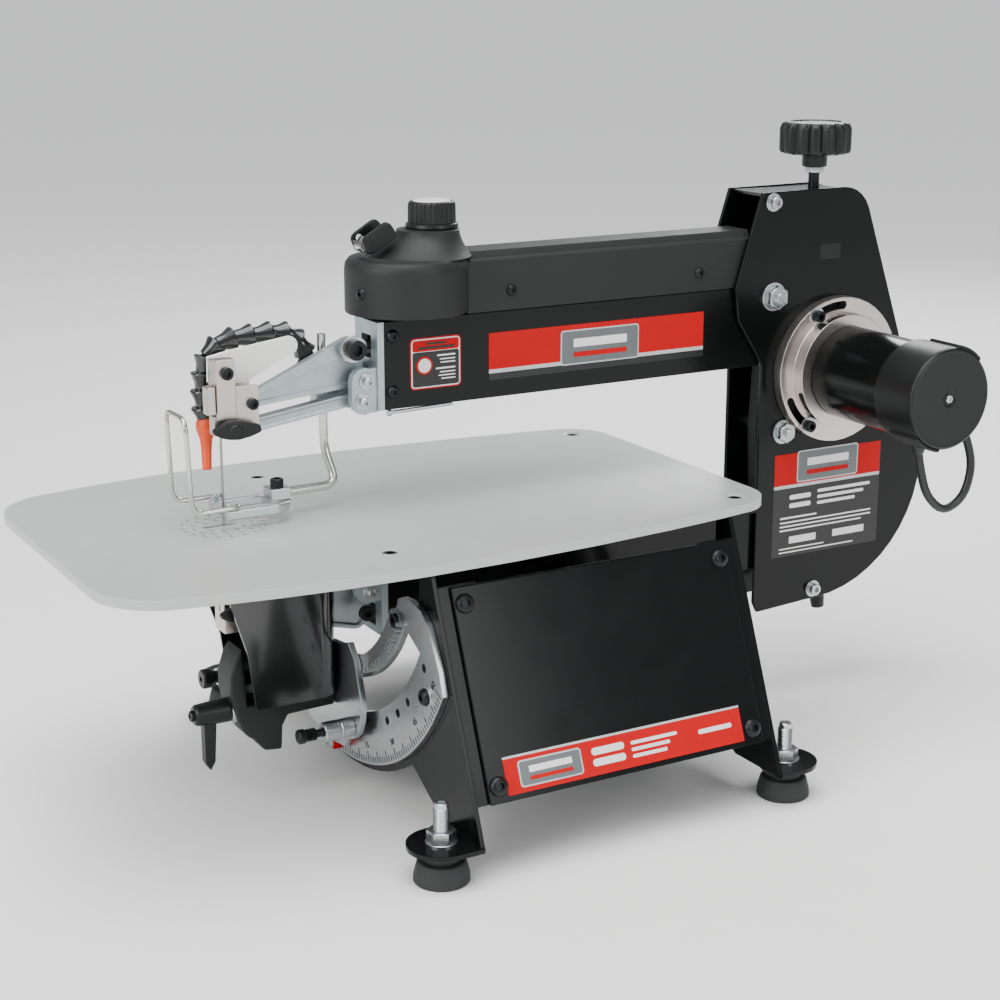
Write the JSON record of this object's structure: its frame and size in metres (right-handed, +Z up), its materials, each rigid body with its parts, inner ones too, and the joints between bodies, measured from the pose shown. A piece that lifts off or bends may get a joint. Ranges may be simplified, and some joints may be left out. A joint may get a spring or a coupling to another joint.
{
  "type": "scroll saw",
  "caption": "Bench scroll saw with a fixed table, a head that tilts about the blade, two linked arms, a rear housing with the motor, and a lifting upper arm.",
  "frame": {"origin": "on the bench, under the centre of the whole part's box; the blade's plane is X = 0", "axes": "+Z up, -Y towards the operator and the table's front edge, +Y towards the rear housing, +X towards the motor"},
  "size_m": [0.38, 0.6778, 0.427],
  "materials": {
    "black_enamel": "gloss",
    "grey_enamel": "satin",
    "zinc_plate": "satin",
    "cast_zinc": "satin",
    "machined_aluminium": "brushed",
    "bright_steel": "polished",
    "black_plastic": "satin",
    "grey_plastic": "matte",
    "white_plastic": "satin",
    "orange_plastic": "gloss",
    "black_rubber": "matte",
    "painted_casting": "matte"
  },
  "bodies": {
    "base": {"front_end_plate": "black_enamel", "rear_end_plate": "black_enamel", "side_cover_left": "black_enamel", "side_cover_right": "black_enamel", "levelling_foot_front_left": "black_rubber", "levelling_foot_front_right": "black_rubber", "levelling_foot_rear_left": "black_rubber", "levelling_foot_rear_right": "black_rubber", "table_plate": "grey_enamel", "tilt_quadrant": "zinc_plate", "tilt_rack": "zinc_plate", "rear_trunnion": "zinc_plate"},
    "head": {"index_plate": "zinc_plate", "tilt_clamp_plate": "zinc_plate", "plunger_barrel": "bright_steel", "lower_guard": "black_enamel", "nose_casting": "painted_casting", "lower_arm_beam": "black_enamel", "lower_bracket": "cast_zinc", "housing_plate_left": "black_enamel", "housing_plate_right": "black_enamel", "housing_strip": "black_enamel", "arm_pivot_bolt": "zinc_plate", "rocker_pivot_bolt": "zinc_plate", "motor_flange": "machined_aluminium", "motor_body": "black_enamel", "motor_end_cap": "black_plastic", "motor_lead": "black_rubber", "cord_gland": "black_plastic"},
    "upper_arm": {"upper_arm_beam": "black_enamel", "arm_cover": "grey_plastic", "upper_bracket": "cast_zinc", "blower_hose": "black_plastic", "blower_nozzle": "orange_plastic", "hold_down_holder": "cast_zinc"},
    "pinion": {"tilt_pinion": "bright_steel"},
    "clamp_lever_body": {"tilt_clamp_lever": "black_plastic"},
    "plunger": {"index_plunger": "black_plastic"},
    "motor_shaft": {"motor_eccentric": "bright_steel"},
    "rocker_body": {"rocker": "painted_casting", "connecting_rod": "machined_aluminium"},
    "tension": {"tension_knob": "black_plastic"},
    "lower_clamp": {"lower_blade_clamp": "machined_aluminium", "saw_blade": "bright_steel"},
    "lower_knob": {"lower_clamp_knob": "black_plastic"},
    "lower_crank": {"lower_bell_crank": "cast_zinc"},
    "lower_link_body": {"lower_link": "cast_zinc"},
    "lower_rod": {"lower_push_rod": "bright_steel"},
    "upper_clamp": {"upper_blade_clamp": "machined_aluminium", "clamp_lever": "white_plastic"},
    "upper_knob": {"upper_clamp_knob": "black_plastic"},
    "upper_crank": {"upper_bell_crank": "cast_zinc"},
    "upper_link_body": {"upper_link": "cast_zinc"},
    "upper_rod": {"upper_push_rod": "bright_steel"},
    "speed": {"speed_knob": "black_plastic"},
    "toggle": {"power_toggle": "black_plastic"},
    "hold_down": {"hold_down_rod": "bright_steel"},
    "foot": {"hold_down_block": "bright_steel", "hold_down_fork": "bright_steel"},
    "guard": {"finger_guard": "bright_steel"}
  },
  "joints": [
    {"name": "head_tilt", "type": "hinge", "parent": "base", "child": "head", "pos_m": [0, -0.028, 0.191], "axis": [0, 1, 0], "range_deg": [-45, 30]},
    {"name": "arm_lift", "type": "hinge", "parent": "head", "child": "upper_arm", "pos_m": [0, 0.191, 0.307], "axis": [-1, 0, 0], "range_deg": [0, 8]},
    {"name": "pinion_turn", "type": "hinge", "parent": "head", "child": "pinion", "pos_m": [-0.03266, -0.223, 0.07709], "axis": [0, 1, 0], "range_deg": [-464, 310]},
    {"name": "clamp_turn", "type": "hinge", "parent": "head", "child": "clamp_lever_body", "pos_m": [0, -0.239, 0.066], "axis": [0, 1, 0], "range_deg": [-60, 60]},
    {"name": "plunger_slide", "type": "slide", "parent": "head", "child": "plunger", "axis": [0, 1, 0], "range_m": [0, 0.005]},
    {"name": "motor_spin", "type": "hinge", "parent": "head", "child": "motor_shaft", "pos_m": [0, 0.247, 0.25], "axis": [1, 0, 0], "continuous": true},
    {"name": "tension_turn", "type": "hinge", "parent": "head", "child": "tension", "pos_m": [0, 0.24, 0.4], "axis": [0, 0, 1], "range_deg": [-180, 180]},
    {"name": "blade_stroke", "type": "slide", "parent": "head", "child": "lower_clamp", "axis": [0, 0, 1], "range_m": [-0.0095, 0.0095]},
    {"name": "lower_knob_turn", "type": "hinge", "parent": "lower_clamp", "child": "lower_knob", "pos_m": [0.012, -0.219, 0.135], "axis": [1, 0, 0], "range_deg": [-90, 90]},
    {"name": "lower_crank_swing", "type": "hinge", "parent": "head", "child": "lower_crank", "pos_m": [0, -0.128, 0.136], "axis": [-1, 0, 0], "range_deg": [-7.34, 7.34]},
    {"name": "lower_link_swing", "type": "hinge", "parent": "head", "child": "lower_link_body", "pos_m": [0, -0.131, 0.149], "axis": [-1, 0, 0], "range_deg": [-7.34, 7.34]},
    {"name": "lower_rod_slide", "type": "slide", "parent": "head", "child": "lower_rod", "axis": [0, 1, 0], "range_m": [-0.00261, 0.00261]},
    {"name": "rocker_swing", "type": "hinge", "parent": "head", "child": "rocker_body", "pos_m": [0, 0.204, 0.2065], "axis": [-1, 0, 0], "range_deg": [-1.71, 1.71]},
    {"name": "upper_clamp_slide", "type": "slide", "parent": "upper_arm", "child": "upper_clamp", "axis": [0, 0, 1], "range_m": [-0.00951, 0.00951]},
    {"name": "upper_knob_turn", "type": "hinge", "parent": "upper_clamp", "child": "upper_knob", "pos_m": [0.012, -0.219, 0.255], "axis": [1, 0, 0], "range_deg": [-90, 90]},
    {"name": "upper_crank_swing", "type": "hinge", "parent": "upper_arm", "child": "upper_crank", "pos_m": [0, -0.128, 0.277], "axis": [-1, 0, 0], "range_deg": [-7.34, 7.34]},
    {"name": "upper_link_swing", "type": "hinge", "parent": "upper_arm", "child": "upper_link_body", "pos_m": [0, -0.131, 0.264], "axis": [-1, 0, 0], "range_deg": [-7.34, 7.34]},
    {"name": "upper_rod_slide", "type": "slide", "parent": "upper_arm", "child": "upper_rod", "axis": [0, 1, 0], "range_m": [-0.00261, 0.00261]},
    {"name": "speed_turn", "type": "hinge", "parent": "upper_arm", "child": "speed", "pos_m": [0, -0.072, 0.38], "axis": [0, 0, 1], "range_deg": [-270, 0]},
    {"name": "toggle_rock", "type": "hinge", "parent": "upper_arm", "child": "toggle", "pos_m": [0, -0.117, 0.362], "axis": [1, 0, 0], "range_deg": [-20, 0]},
    {"name": "hold_down_slide", "type": "slide", "parent": "upper_arm", "child": "hold_down", "axis": [0, 0, 1], "range_m": [0, 0.02]},
    {"name": "foot_level", "type": "hinge", "parent": "hold_down", "child": "foot", "pos_m": [0, -0.183, 0.2085], "axis": [0, 1, 0], "range_deg": [-30.01, 45.01]},
    {"name": "guard_swing", "type": "hinge", "parent": "foot", "child": "guard", "pos_m": [0, -0.219, 0.2056], "axis": [1, 0, 0], "range_deg": [0, 8]}
  ],
  "couplings": [
    {"joint": "foot_level", "follows": "head_tilt", "ratio": -1},
    {"joint": "pinion_turn", "follows": "head_tilt", "ratio": 10.286},
    {"joint": "lower_crank_swing", "follows": "blade_stroke", "rad_per_m": 13.333},
    {"joint": "lower_link_swing", "follows": "blade_stroke", "rad_per_m": 13.333},
    {"joint": "lower_rod_slide", "follows": "blade_stroke", "ratio": -0.27333},
    {"joint": "rocker_swing", "follows": "blade_stroke", "rad_per_m": 3.0037},
    {"joint": "upper_clamp_slide", "follows": "blade_stroke", "ratio": 1},
    {"joint": "upper_crank_swing", "follows": "blade_stroke", "rad_per_m": 13.333},
    {"joint": "upper_link_swing", "follows": "blade_stroke", "rad_per_m": 13.333},
    {"joint": "upper_rod_slide", "follows": "blade_stroke", "ratio": 0.27333}
  ]
}
